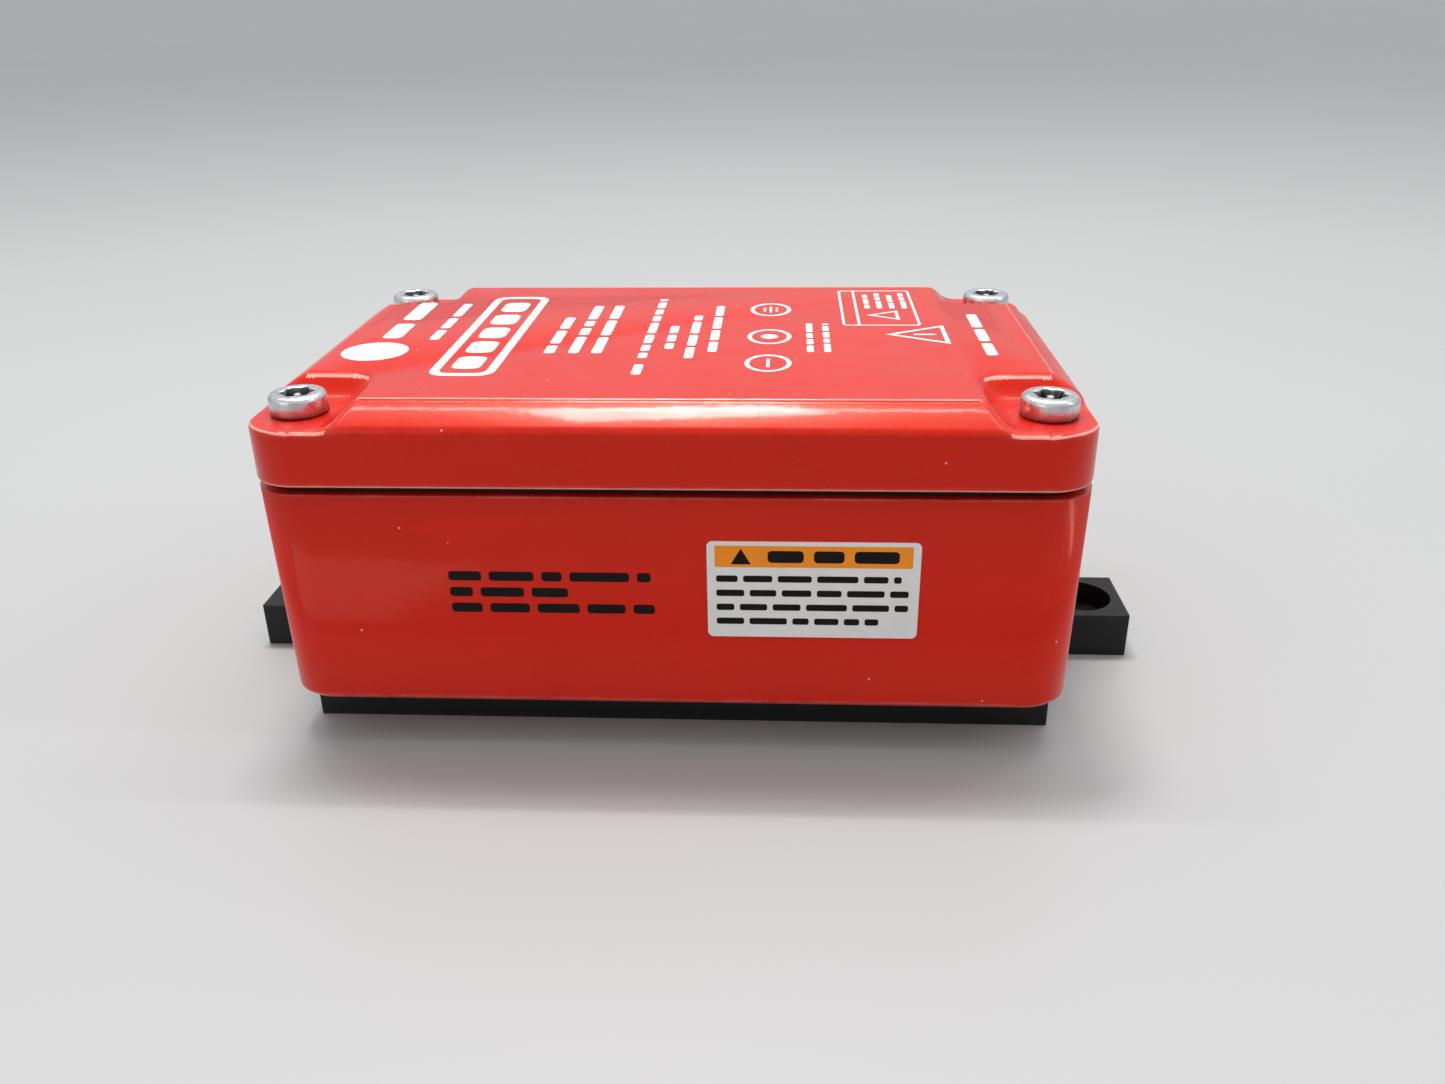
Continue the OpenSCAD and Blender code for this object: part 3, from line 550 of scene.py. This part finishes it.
def bank_drop(out):
    """Share of the drop at a share of the way from the panel's edge out to the wall.

    A small step at the panel's edge, a nearly flat bank, then a tight turn into the wall.
    """
    step_out, step_down = 0.095, 0.07
    turn_out, turn_down = 0.87, 0.65
    bank_bend, turn_start = 0.19, 0.33
    if out <= 0:
        return 0.0
    if out < step_out:
        return step_down * (out / step_out) ** 2
    if out < turn_out:
        t = (out - step_out) / (turn_out - step_out)
        return step_down + (turn_down - step_down) * ((1 - bank_bend) * t + bank_bend * t * t)
    t = min(1.0, (out - turn_out) / (1 - turn_out))
    turn = turn_start * t + (1 - turn_start) * (1 - math.sqrt(1 - t * t))
    return turn_down + (1 - turn_down) * turn


def notch_depth_in(x, y):
    """How far x, y lies inside a corner notch, whose inner corner is rounded in plan."""
    a, b = x - NOTCH_X, y - NOTCH_Y
    if a < CONCAVE_R and b < CONCAVE_R:
        return CONCAVE_R - math.hypot(CONCAVE_R - a, CONCAVE_R - b)
    return min(a, b)


def wall_distance(x, y):
    """How far x, y lies inside the cover's outer edge."""
    a, b = x - (LID_HI.x - COVER_CORNER), y - (LID_HI.y - COVER_CORNER)
    if a > 0 and b > 0:
        return COVER_CORNER - math.hypot(a, b)
    return min(LID_HI.x - x, LID_HI.y - y)


def cover_height(x, y):
    """Top of the cover: banks along its sides, cut away at the corners down to the shoulders."""
    x, y = abs(x), abs(y)
    out = max((x - PANEL_X) / (LID_HI.x - PANEL_X), (y - PANEL_Y) / (LID_HI.y - PANEL_Y))
    side = BANK_DROP * bank_drop(out)
    rise = LID_HI.z - SHOULDER_Z
    cut = rise - greater(rise - NOTCH_SLOPE * notch_depth_in(x, y), 0, NOTCH_FOOT_BLEND)
    cut = greater(cut, 0, NOTCH_LIP_BLEND)
    over = max(0.0, SHOULDER_ROUND - wall_distance(x, y))
    edge = SHOULDER_ROUND - math.sqrt(max(0.0, SHOULDER_ROUND ** 2 - over * over))
    blend = SIDE_BLEND * min(1.0, max(0.0, min(side, cut) / MM))
    return LID_HI.z - greater(side, cut + edge, blend)


def notched(half_x, half_y, notch_x, notch_y, concave=CONCAVE_R):
    """Quadrant of the panel's outline: end corner, concave notch corner, front corner."""
    return (
        arc((half_x - CONVEX_R, notch_y - CONVEX_R), CONVEX_R, 0, 90, ARC_STEPS)
        + arc((notch_x + concave, notch_y + concave), concave, 270, 180, ARC_STEPS)
        + arc((notch_x - CONVEX_R, half_y - CONVEX_R), CONVEX_R, 0, 90, ARC_STEPS)
    )


def corner_outline(half_x, half_y, radius):
    """Quadrant of the cover's outer edge, with as many points as notched()."""
    steps, run_in = ARC_STEPS, 2.6 * MM
    x0, y0 = NOTCH_X - run_in, NOTCH_Y - run_in
    to_x, to_y = half_x - radius - x0, half_y - radius - y0
    shares = [i / (steps + 1) for i in range(steps + 1)]
    end = [Vector((half_x, y0 + to_y * share)) for share in shares]
    front = [Vector((x0 + to_x * (steps - i) / (steps + 1), half_y)) for i in range(steps + 1)]
    return end + arc((half_x - radius, half_y - radius), radius, 0, 90, steps) + front


def top_rings():
    """Rings over the panel and the banks, closest where the surface bends."""
    panel = notched(PANEL_X, PANEL_Y, NOTCH_X, NOTCH_Y)
    outer = corner_outline(LID_HI.x, LID_HI.y, COVER_CORNER)
    inset = notched(
        PANEL_X - PANEL_INSET, PANEL_Y - PANEL_INSET, NOTCH_X - PANEL_INSET, NOTCH_Y - PANEL_INSET,
        CONCAVE_R + PANEL_INSET,
    )
    rings = [at_height(mirrored(inset), LID_HI.z)]
    at_step = [0.0085 * i for i in range(8)]
    on_bank = [0.08 + (0.86 - 0.08) * i / 21 for i in range(22)]
    at_turn = [0.88, 0.90, 0.92, 0.94, 0.957, 0.970, 0.980, 0.988, 0.994, 0.998, 1.0]
    for share in at_step + on_bank + at_turn:
        ring = mirrored([a.lerp(b, share) for a, b in zip(panel, outer)])
        rings.append([Vector((p.x, p.y, cover_height(p.x, p.y))) for p in ring])
    return rings


def wall_rings():
    """Rings round the cover's lower edge, then up the hollow underneath to its ceiling."""
    rings = []
    for share in (0.0, 0.2, 0.4, 0.6, 0.8, 1.0):
        a = share * math.pi / 2
        inward = LOW_EDGE_R * (1 - math.cos(a))
        ring = corner_outline(LID_HI.x - inward, LID_HI.y - inward, COVER_CORNER - inward)
        rings.append(at_height(mirrored(ring), LID_LO.z + LOW_EDGE_R * (1 - math.sin(a))))
    hollow = (
        (0, LID_LO.z), (0.2 * MM, LID_LO.z + 0.2 * MM), (1.2 * MM, CEILING_Z - 1 * MM),
        (2.2 * MM, CEILING_Z),
    )
    for inward, z in hollow:
        ring = notched(
            HOLLOW_X - inward, HOLLOW_Y - inward, HOLLOW_NOTCH_X - inward, HOLLOW_NOTCH_Y - inward
        )
        rings.append(at_height(mirrored(ring), z))
    return rings


def worn_and_highlit_edge(face):
    """Faces that take the paler red_edge along the edges of panel, notches and shoulders, and the rim:
    partly worn paint, partly a painted highlight.
    """
    x, y, z = abs(face.center.x), abs(face.center.y), face.center.z
    from_wall = wall_distance(x, y)
    if face.normal.z < LOOKS_UP:
        return z < LID_LO.z + 0.4 * MM and from_wall < 0.5 * MM
    in_notch = notch_depth_in(x, y)
    if in_notch > 3.5 * MM:
        return 0.10 * MM < from_wall < 0.42 * MM
    past_panel = max(x - PANEL_X, y - PANEL_Y)
    if in_notch > -0.5 * MM:
        return x > NOTCH_X + 1.5 * MM and past_panel < 0 and 0.2 * MM < in_notch < 0.8 * MM
    return 0.12 * MM < past_panel < 0.36 * MM


def under_cover(face):
    """Whether a face of the cover belongs to its hollow underside."""
    from_wall = wall_distance(abs(face.center.x), abs(face.center.y))
    low = face.center.z < CEILING_Z + 0.5 * MM
    return face.normal.z < LOOKS_UP and low and from_wall > 2 * MM


def make_cover():
    """Red cover: raised panel, banks and corner notches, hollow underneath."""
    rings = top_rings() + wall_rings()
    rings.reverse()
    piece = add_piece("cover_shell", loft("cover_shell", rings), "red_paint", "cover", smooth_angle=40)
    repainted(piece, "red_inside", under_cover)
    # Paler red along the crisp edges and the lower rim: partly worn paint, partly painted highlight and
    # reflection.
    repainted(piece, "red_edge", worn_and_highlit_edge)
    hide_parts("lid")


# ------------------------------------------------------------------ cover screws


ROUND_STEPS = 96
HEAD_RIM_R = 1.05 * MM
PLAIN_SHANK = 4 * MM
THREAD_PITCH = 0.8 * MM
THREAD_DEPTH = 0.35 * MM
SCREW_TURNS = (17, 41, 5, 29)


def polar_ring(radius_at, z):
    """Closed ring at height z, with a radius for each angle."""
    ring = []
    for k in range(ROUND_STEPS):
        a = 2 * math.pi * k / ROUND_STEPS
        r = radius_at(a)
        ring.append(Vector((r * math.cos(a), r * math.sin(a), z)))
    return ring


def lobed(radius, depth):
    """Six soft lobes that reach radius."""
    return lambda a: radius * (1 - depth + depth * math.cos(6 * a))


def round_at(radius):
    """The same radius at every angle."""
    return lambda a: radius


def thread_rings(crest, depth, pitch, top, bottom):
    """Rings down a single-start thread whose groove runs out at both ends."""
    run_out, steps = 1.5 * pitch, 8
    rings = []
    total = int((top - bottom) / pitch * steps)
    for i in range(total + 1):
        z = top + (bottom - top) * i / total
        ends = min(1.0, (top - z) / run_out, (z - bottom) / run_out)

        def radius_at(a, z=z, ends=ends):
            turn = (z / pitch - a / (2 * math.pi)) % 1.0
            return crest - depth * ends * (1 - abs(2 * turn - 1)) ** 0.8

        rings.append(polar_ring(radius_at, z))
    return rings


def screw_head_profile():
    """Radius and height of each ring from the pin's tip, down the recess, over the rim and under."""
    top, head_r = COVER_HEAD_H, COVER_HEAD_R
    pin = ((0.30, 0.42), (0.55, 0.50), (0.68, 0.75), (0.72, 2.0))
    recess = (
        (2.2, 0.10, 2.0), (2.45, 0.11, 1.8), (2.62, 0.11, 0.5), (2.78, 0.09, 0.16),
        (2.95, 0.06, 0.03),
    )
    profile = [(round_at(r * MM), top - down * MM) for r, down in pin]
    profile += [(lobed(r * MM, lobe), top - down * MM) for r, lobe, down in recess]
    profile.append((round_at(3.15 * MM), top))
    rim_steps = 8
    for i in range(rim_steps + 1):
        a = math.radians(90 * i / rim_steps)
        r = head_r - HEAD_RIM_R + HEAD_RIM_R * math.sin(a)
        profile.append((round_at(r), top - 0.02 * MM - HEAD_RIM_R * (1 - math.cos(a))))
    for inward, z in ((0, 0.4 * MM), (0.1 * MM, 0.12 * MM), (0.4 * MM, 0)):
        profile.append((round_at(head_r - inward), z))
    return profile


def screw_rings():
    """One cover screw from the tip of its pin to the end of its shank, on the shoulder's plane."""
    rings = [polar_ring(radius_at, z) for radius_at, z in screw_head_profile()]
    shank = round_at(COVER_SHANK_R)
    rings += [polar_ring(shank, 0), polar_ring(shank, -PLAIN_SHANK)]
    end = SCREWS_LO.z - SHOULDER_Z
    thread_top, thread_end = -PLAIN_SHANK - 0.05 * MM, end + 0.5 * MM
    rings += thread_rings(COVER_SHANK_R, THREAD_DEPTH, THREAD_PITCH, thread_top, thread_end)
    rings.append(polar_ring(round_at(COVER_SHANK_R - 0.5 * MM), end))
    rings.reverse()
    return rings


def make_cover_screws():
    """Zinc-plated pan heads with a six-lobed recess, a pin standing in it and a threaded shank."""
    rings = screw_rings()
    corners = ((-1, -1), (1, -1), (1, 1), (-1, 1))
    for number, ((sx, sy), degrees) in enumerate(zip(corners, SCREW_TURNS), start=1):
        centre = Vector((sx * COVER_SCREW_X, sy * COVER_SCREW_Y, SHOULDER_Z))
        mesh = loft(f"cover_screw_{number}", rings)
        mesh.transform(Matrix.Translation(centre) @ Matrix.Rotation(math.radians(degrees), 4, "Z"))
        piece = add_piece(mesh.name, mesh, "zinc_plate", "cover", smooth_angle=40)

        def in_recess(face, centre=centre):
            across = (face.center - centre).xy.length
            up = face.center.z - centre.z
            return 0.66 * MM < across < 2.8 * MM and 0.5 * MM < up < COVER_HEAD_H - 0.12 * MM

        # The recess faces take the darker zinc copy as painted shade; the pin stays bright.
        repainted(piece, "recess", in_recess)
    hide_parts("cover_screws")


# ------------------------------------------------------------------ the box

CONDUIT = next(m for m in frame["record"]["mounts"] if m["name"] == "conduit_entry")
CONDUIT_R = CONDUIT["dims"]["r_mm"] * MM
CONDUIT_Z = CONDUIT["pos_m"][2]
CONDUIT_PITCH = 1.8 * MM
CONDUIT_DEPTH = 1.1 * MM
LINING_T = 0.15 * MM
CONDUIT_BOSS_X = 50 * MM
WALL_T = 3 * MM


def make_box():
    """The box with a duller inside. Its conduit bore is widened to hold the threaded lining."""
    # The rounded edges take the paler red_edge: partly worn paint, partly a painted highlight along the
    # top rim.
    piece = refined("housing", "red_paint", "enclosure", bevel=0.45 * MM, edge="red_edge")
    inner_x, inner_y = BOX_HI.x - WALL_T, BOX_RIM_Y - WALL_T

    def inside(face):
        within = abs(face.center.x) < inner_x and abs(face.center.y) < inner_y
        return within and BOX_LO.z + MM < face.center.z < RIM_Z - 0.3 * MM

    repainted(piece, "red_inside", inside)
    ends = []
    for corner in piece.data.vertices:
        r = math.hypot(corner.co.y, corner.co.z - CONDUIT_Z)
        if corner.co.x > CONDUIT_BOSS_X and abs(r - CONDUIT_R) < 0.02 * MM:
            grow = (CONDUIT_R + CONDUIT_DEPTH + 0.1 * MM) / r
            corner.co.y *= grow
            corner.co.z = CONDUIT_Z + (corner.co.z - CONDUIT_Z) * grow
            ends.append(corner.co.x)
    make_conduit_thread(min(ends), max(ends) - LINING_T)


def make_conduit_thread(start, end):
    """Tapped lining of the conduit entry, with its crests on the CAD bore."""
    root, steps = CONDUIT_R + CONDUIT_DEPTH, 10
    total = int((end - start) / CONDUIT_PITCH * steps)
    place = Matrix.Rotation(math.pi / 2, 4, "Y")
    outside = round_at(root + LINING_T)
    rings = [polar_ring(outside, start)]
    for i in range(total + 1):
        z = start + (end - start) * i / total
        lead_in = min(1.0, (end - z) / (1.2 * CONDUIT_PITCH))

        def radius_at(a, z=z, lead_in=lead_in):
            turn = (z / CONDUIT_PITCH - a / (2 * math.pi)) % 1.0
            crest = min(1.0, 1.25 * abs(2 * turn - 1))
            return root - CONDUIT_DEPTH * crest * lead_in

        rings.append(polar_ring(radius_at, z))
    rings.append(polar_ring(outside, end))
    rings.append(rings[0])
    mesh = loft("conduit_thread", rings, close_start=False, close_end=False)
    mesh.transform(Matrix.Translation((0, 0, CONDUIT_Z)) @ place)
    piece = add_piece(mesh.name, mesh, "cast_metal", "enclosure", smooth_angle=50)


# ------------------------------------------------------------------ return spring


SPRING_MEAN_R = 2.6 * MM
SPRING_WIRE_R = 0.35 * MM
SPRING_TURNS = 6


def coil_rings(length):
    """Rings round the wire of a coil that fills length along +Z."""
    steps, sides = 28, 12
    total = SPRING_TURNS * steps
    rings = []
    for i in range(total + 1):
        a = 2 * math.pi * i / steps
        out = Vector((math.cos(a), math.sin(a), 0))
        z = SPRING_WIRE_R + (length - 2 * SPRING_WIRE_R) * (i / total)
        centre = Vector((SPRING_MEAN_R * math.cos(a), SPRING_MEAN_R * math.sin(a), z))
        ring = []
        for k in range(sides):
            b = 2 * math.pi * k / sides
            across = out * math.cos(b) + Vector((0, 0, math.sin(b)))
            ring.append(centre + SPRING_WIRE_R * across)
        rings.append(ring)
    return rings


def make_return_spring():
    """Coil between the plunger and the block, built at the length of the CAD spring's box; the real
    spring shortens as the plunger slides.
    """
    lo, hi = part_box("return_spring")
    middle = (lo + hi) / 2
    start, end = Vector((lo.x, middle.y, middle.z)), Vector((hi.x, middle.y, middle.z))
    turn = (end - start).to_track_quat("Z", "Y").to_matrix().to_4x4()
    place = Matrix.Translation(start) @ turn
    rings = [[place @ p for p in ring] for ring in coil_rings((end - start).length)]
    name = "return_spring_coil"
    spring = add_piece(name, loft(name, rings), "spring_steel", "enclosure", smooth_angle=60)
    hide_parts("return_spring")
    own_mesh(spring)


# ------------------------------------------------------------------ print and label


# Thickness of the print, and the gap that keeps it off the surface below
PRINT_T = 0.02 * MM
PRINT_LIFT = 0.004 * MM


def flat_shape(name, outline, place, lift=PRINT_LIFT):
    """A thin printed patch: outline points in millimetres in its own plane, moved by place."""
    low = [place @ Vector((p.x * MM, p.y * MM, lift)) for p in outline]
    high = [place @ Vector((p.x * MM, p.y * MM, lift + PRINT_T)) for p in outline]
    return loft(name, [low, high])


def frame_shape(name, outer, inner, place):
    """A thin printed frame between two outlines of equal length, in millimetres."""
    low, high = PRINT_LIFT, PRINT_LIFT + PRINT_T
    rings = []
    for outline, z in ((inner, low), (outer, low), (outer, high), (inner, high), (inner, low)):
        rings.append([place @ Vector((p.x * MM, p.y * MM, z)) for p in outline])
    mesh = loft(name, rings, close_start=False, close_end=False)
    work = bmesh.new()
    work.from_mesh(mesh)
    bmesh.ops.remove_doubles(work, verts=work.verts, dist=1e-7)
    work.to_mesh(mesh)
    work.free()
    return mesh


def joined(name, meshes):
    """One mesh from several."""
    work = bmesh.new()
    for mesh in meshes:
        work.from_mesh(mesh)
        bpy.data.meshes.remove(mesh)
    made = bpy.data.meshes.new(name)
    work.to_mesh(made)
    work.free()
    return made


def pill(x, y, length, height, round_share=0.3):
    """Outline of a rounded bar, centred on x, y."""
    r = min(length, height) * round_share
    hx, hy = length / 2 - r, height / 2 - r
    return (
        arc((x + hx, y + hy), r, 0, 90, 3) + arc((x - hx, y + hy), r, 90, 180, 3)
        + arc((x - hx, y - hy), r, 180, 270, 3) + arc((x + hx, y - hy), r, 270, 360, 3)
    )


def circle(x, y, r):
    """Outline of a disc."""
    steps = 48
    return arc((x, y), r, 0, 360 - 360 / steps, steps - 1)


def ellipse(x, y, rx, ry):
    """Outline of an ellipse."""
    return [Vector((x + rx * p.x, y + ry * p.y)) for p in circle(0, 0, 1)]


def triangle(x, y, size, turn):
    """Outline of an even triangle whose corners lie size from x, y."""
    corners = [math.radians(turn + a) for a in (0, 120, 240)]
    return [Vector((x + size * math.cos(a), y + size * math.sin(a))) for a in corners]


def greeked_line(x0, x1, y, height, seed):
    """Dashes of uneven length that stand where a line of print would, with no letters."""
    draw = random.Random(seed)
    bar_height, gap, shortest = height * 0.72, height * 0.55, height * 0.6
    bars = []
    x = x0
    while x < x1 - shortest:
        length = min(height * draw.uniform(1.4, 4.2), x1 - x)
        bars.append(pill(x + length / 2, y, length, bar_height))
        x += length + gap
    return bars


def make_cover_print():
    """Unlettered white print on the panel, read with the -X end up: bars, a disc and plain symbols."""
    place = Matrix.Translation((0, 0, LID_HI.z))
    shapes = []

    def solid(outline):
        shapes.append(flat_shape("print", outline, place))

    def frame_of(outer, inner):
        shapes.append(frame_shape("print", outer, inner, place))

    def lines(height, rows):
        """Lines of dashes along Y, one for each x, start, end and seed."""
        for x, y0, y1, seed in rows:
            for bar in greeked_line(y0, y1, 0, height, seed):
                solid([Vector((x - p.y, p.x)) for p in bar])

    # Disc with a bar beside it, and a smaller line below them
    solid(circle(-55.6, -12, 6))
    lines(5.2, [(-55.4, -3, 25, 3)])
    lines(2.6, [(-47.0, -4, 24, 11)])
    # Five squares in a frame
    frame_of(pill(-36.5, 1.5, 11.5, 57, 0.25), pill(-36.5, 1.5, 8.3, 53.8, 0.2))
    for y in (-19, -9, 1, 11, 21):
        solid(pill(-36.5, y, 5.2, 7.6))
    # Two groups of lines
    lines(2.7, [(-23.6, -13, 15, 21), (-19.2, -13, 22, 22), (-15.0, -13, 23, 23)])
    lines(2.3, [
        (-6.4, -26, -20, 30), (-6.4, -16, 28, 31), (-2.2, -10, 8, 32), (1.8, -16, 14, 33),
        (5.8, -12, 22, 34),
    ])
    # Three oval rings that hold bars, a bar and a dot, with two short lines beside them
    for y in (19, -1.6, -19):
        frame_of(ellipse(16, y, 4.1, 5.2), ellipse(16, y, 3.3, 4.4))
    for dx, length in ((-1.2, 3.0), (0, 4.6), (1.2, 3.0)):
        solid(pill(16 + dx, 19, 0.5, length))
    solid(pill(16, -19, 0.6, 5.0))
    solid(circle(16, -1.6, 1.6))
    lines(1.7, [(23.5, -12, 8, 41), (26.6, -12, 8, 42)])
    # Box with a triangle and four lines in it
    frame_of(pill(37.5, 21, 15, 29, 0.06), pill(37.5, 21, 14, 28, 0.04))
    solid(pill(33.2, 21, 0.5, 28))
    frame_of(triangle(39.2, 14.5, 4.2, 180), triangle(39.2, 14.5, 3.0, 180))
    lines(1.5, [(35.5, 20, 33, 51), (38.0, 20, 33, 52), (40.5, 20, 33, 53), (43.0, 20, 33, 54)])
    # Triangle with a bar in it, and the last line
    frame_of(triangle(45.3, 0, 7.6, 180), triangle(45.3, 0, 6.0, 180))
    solid(pill(45.0, 0, 4.2, 0.8))
    lines(2.8, [(55.5, -14, 15, 61)])
    piece = add_piece("cover_print", joined("cover_print", shapes), "white_ink", "cover")


def front_place(x, z):
    """Plane of the leaning front wall at x, z: its own x along the wall, its own y up, z outwards."""
    lean = math.atan(BOX_DRAFT / (RIM_Z - BOX_LO.z - BOX_EDGE))
    y = -BOX_RIM_Y + math.tan(lean) * (RIM_Z - z)
    return Matrix.Translation((x, y, z)) @ Matrix.Rotation(math.pi / 2 + lean, 4, "X")


def make_front_code():
    """Three printed black lines of dashes on the front wall."""
    place = front_place(-20 * MM, 31 * MM)
    shapes = []
    for y, end, seed in ((3.0, 17, 71), (0.0, 3, 72), (-3.0, 17.5, 73)):
        for bar in greeked_line(-17, end, y, 2.4, seed):
            shapes.append(flat_shape("code", bar, place))
    piece = add_piece("front_code", joined("front_code", shapes), "black_ink", "enclosure")


def make_label():
    """White sticker with an amber band, a plain triangle and unlettered lines."""
    refined("side_label", "label_film", "enclosure", bevel=0.05 * MM, segments=2)
    centre = (LABEL_LO + LABEL_HI) / 2
    on_sticker = Matrix.Translation((0, 0, 0.22 * MM))
    place = front_place(centre.x, centre.z) @ on_sticker
    band = flat_shape("band", pill(0, 6.2, 32.4, 3.9, 0.05), place)
    add_piece("label_band", band, "amber_ink", "enclosure")
    shapes = []
    for row, end in enumerate((14.5, 15.8, 15.8, 11.0)):
        for bar in greeked_line(-16, end, 2.1 - 2.65 * row, 1.65, 80 + row):
            shapes.append(flat_shape("line", bar, place))
    on_band = PRINT_LIFT + PRINT_T
    shapes.append(flat_shape("sign", triangle(-11.9, 5.75, 1.9, 90), place, on_band))
    for bar in greeked_line(-7.5, 14, 6.2, 3.0, 90):
        shapes.append(flat_shape("head", bar, place, on_band))
    piece = add_piece("label_print", joined("label_print", shapes), "black_ink", "enclosure")


# ------------------------------------------------------------------ build

RECORD = frame["record"]
SLOT_OF = {part["node"]: part["material_slot"] for part in RECORD["subparts"]}
BODY_OF = {node: body for body, nodes in RECORD["behaviour"]["bodies"].items() for node in nodes}
MATERIALS = make_materials()

USUAL_BEVEL = 0.12 * MM
BEVELS = {
    "bridge_springs": 0,
    "mounting_plate": 0.3 * MM,
    "gasket": 0.25 * MM,
    "contact_block": 0.2 * MM,
    "plunger": 0.2 * MM,
}
MADE_BY_HAND = {"lid", "cover_screws", "side_label", "return_spring", "housing"}

make_camera()
make_floor()
make_lights()
make_box()
make_cover()
make_cover_screws()
make_cover_print()
make_front_code()
make_label()
make_return_spring()
for node in sorted(set(frame["nodes"]) - MADE_BY_HAND):
    refined(node, SLOT_OF[node], BODY_OF[node], bevel=BEVELS.get(node, USUAL_BEVEL))
